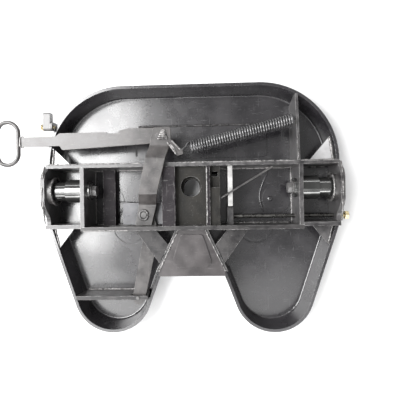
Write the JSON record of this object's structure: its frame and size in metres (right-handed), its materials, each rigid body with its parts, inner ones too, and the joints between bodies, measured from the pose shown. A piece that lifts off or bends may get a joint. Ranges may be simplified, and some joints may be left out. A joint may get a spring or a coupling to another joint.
{
  "type": "fifth wheel top plate",
  "caption": "Semi-trailer coupling top plate, ribbed side up, with sliding kingpin lock, spring-loaded release lever and pull handle.",
  "frame": {"origin": "the kingpin's centre on the bearing face, which is the round end of the kingpin slot", "axes": "+Z away from the bearing face, towards the ribbed underside (down when fitted on a truck); +Y towards the edge away from the throat; +X towards the adjusting bolt, so the pull handle is at -X. The part is stored as it lies on its bearing face."},
  "size_m": [1.111, 0.7779, 0.133],
  "materials": {
    "black_paint": "satin black paint over pressed and welded plate",
    "lever_paint": "thin grey-black paint, rubbed on the edges",
    "bright_steel": "turned and ground steel",
    "dark_steel": "dark painted steel",
    "yellow_zinc": "yellow passivated zinc plate",
    "forged_steel": "forged and milled steel with grease on it",
    "spring_steel": "black coated spring wire"
  },
  "bodies": {
    "frame": {"bay_rib": "black_paint", "bolt_bracket": "black_paint", "brace_left": "black_paint", "brace_right": "black_paint", "doubler_plate": "black_paint", "ear_plate_left": "black_paint", "ear_plate_right": "black_paint", "front_rib": "black_paint", "grease_pipe": "black_paint", "gusset_front_left": "black_paint", "gusset_front_right": "black_paint", "gusset_rear_left": "black_paint", "gusset_rear_right": "black_paint", "inner_plate_left": "black_paint", "inner_plate_right": "black_paint", "kingpin_jaw": "forged_steel", "latch_bolt": "yellow_zinc", "latch_bracket": "black_paint", "leg_rib": "black_paint", "lever_pivot_pin": "bright_steel", "lock_cover": "black_paint", "lock_guide": "black_paint", "lock_nut": "yellow_zinc", "lock_stop_block": "black_paint", "lock_wall_left": "black_paint", "lock_wall_right": "black_paint", "pin_bolt_left": "dark_steel", "pin_bolt_right": "dark_steel", "pin_collar_left": "dark_steel", "pin_collar_right": "dark_steel", "pin_sleeve_left": "dark_steel", "pin_sleeve_right": "dark_steel", "pin_washer_left": "dark_steel", "pin_washer_right": "dark_steel", "pivot_pin_left": "bright_steel", "pivot_pin_right": "bright_steel", "pocket_rib_left": "black_paint", "pocket_rib_right": "black_paint", "rear_rib": "black_paint", "spacer_block": "black_paint", "spring_rib": "black_paint", "throat_plate": "black_paint", "throat_wall_left": "black_paint", "throat_wall_right": "black_paint", "top_plate": "black_paint"},
    "lever": {"lever_tail": "lever_paint", "lever_strap": "lever_paint", "spring_tab": "lever_paint", "link_pin": "bright_steel", "handle_pin": "bright_steel"},
    "handle": {"handle_bar": "lever_paint", "grip_ring": "lever_paint"},
    "lock": {"lock_bar": "forged_steel"},
    "latch": {"safety_latch": "lever_paint"},
    "adjuster": {"adjusting_bolt": "yellow_zinc"},
    "spring": {"main_spring": "spring_steel"}
  },
  "joints": [
    {"name": "lever_swing", "type": "hinge", "parent": "frame", "child": "lever", "pos_m": [-0.17, -0.342, 0.075], "axis": [0, 0, 1], "range_deg": [0, 22.5], "stiffness_Nm_per_rad": 250, "springref_deg": -6.88, "deforming": ["main_spring"]},
    {"name": "handle_pivot", "type": "hinge", "parent": "lever", "child": "handle", "pos_m": [-0.099, 0.157, 0.084], "axis": [0, 0, 1], "range_deg": [-22.5, 0]},
    {"name": "lock_slide", "type": "slide", "parent": "frame", "child": "lock", "axis": [-1, 0, 0], "range_m": [0, 0.0997]},
    {"name": "spring_swing", "type": "hinge", "parent": "frame", "child": "spring", "pos_m": [0.3186, 0.1998, 0.095], "axis": [0, 0, 1], "range_deg": [-6.96, 0]},
    {"name": "latch_tip", "type": "hinge", "parent": "frame", "child": "latch", "pos_m": [-0.45, 0.195, 0.084], "axis": [1, 0, 0], "range_deg": [0, 100]},
    {"name": "adjuster_turn", "type": "hinge", "parent": "frame", "child": "adjuster", "pos_m": [0.3, -0.096, 0.051], "axis": [1, 0, 0], "continuous": true}
  ],
  "couplings": [
    {"joint": "handle_pivot", "follows": "lever_swing", "ratio": -1},
    {"joint": "lock_slide", "follows": "lever_swing", "m_per_rad": 0.25363},
    {"joint": "spring_swing", "follows": "lever_swing", "ratio": -0.3071}
  ]
}
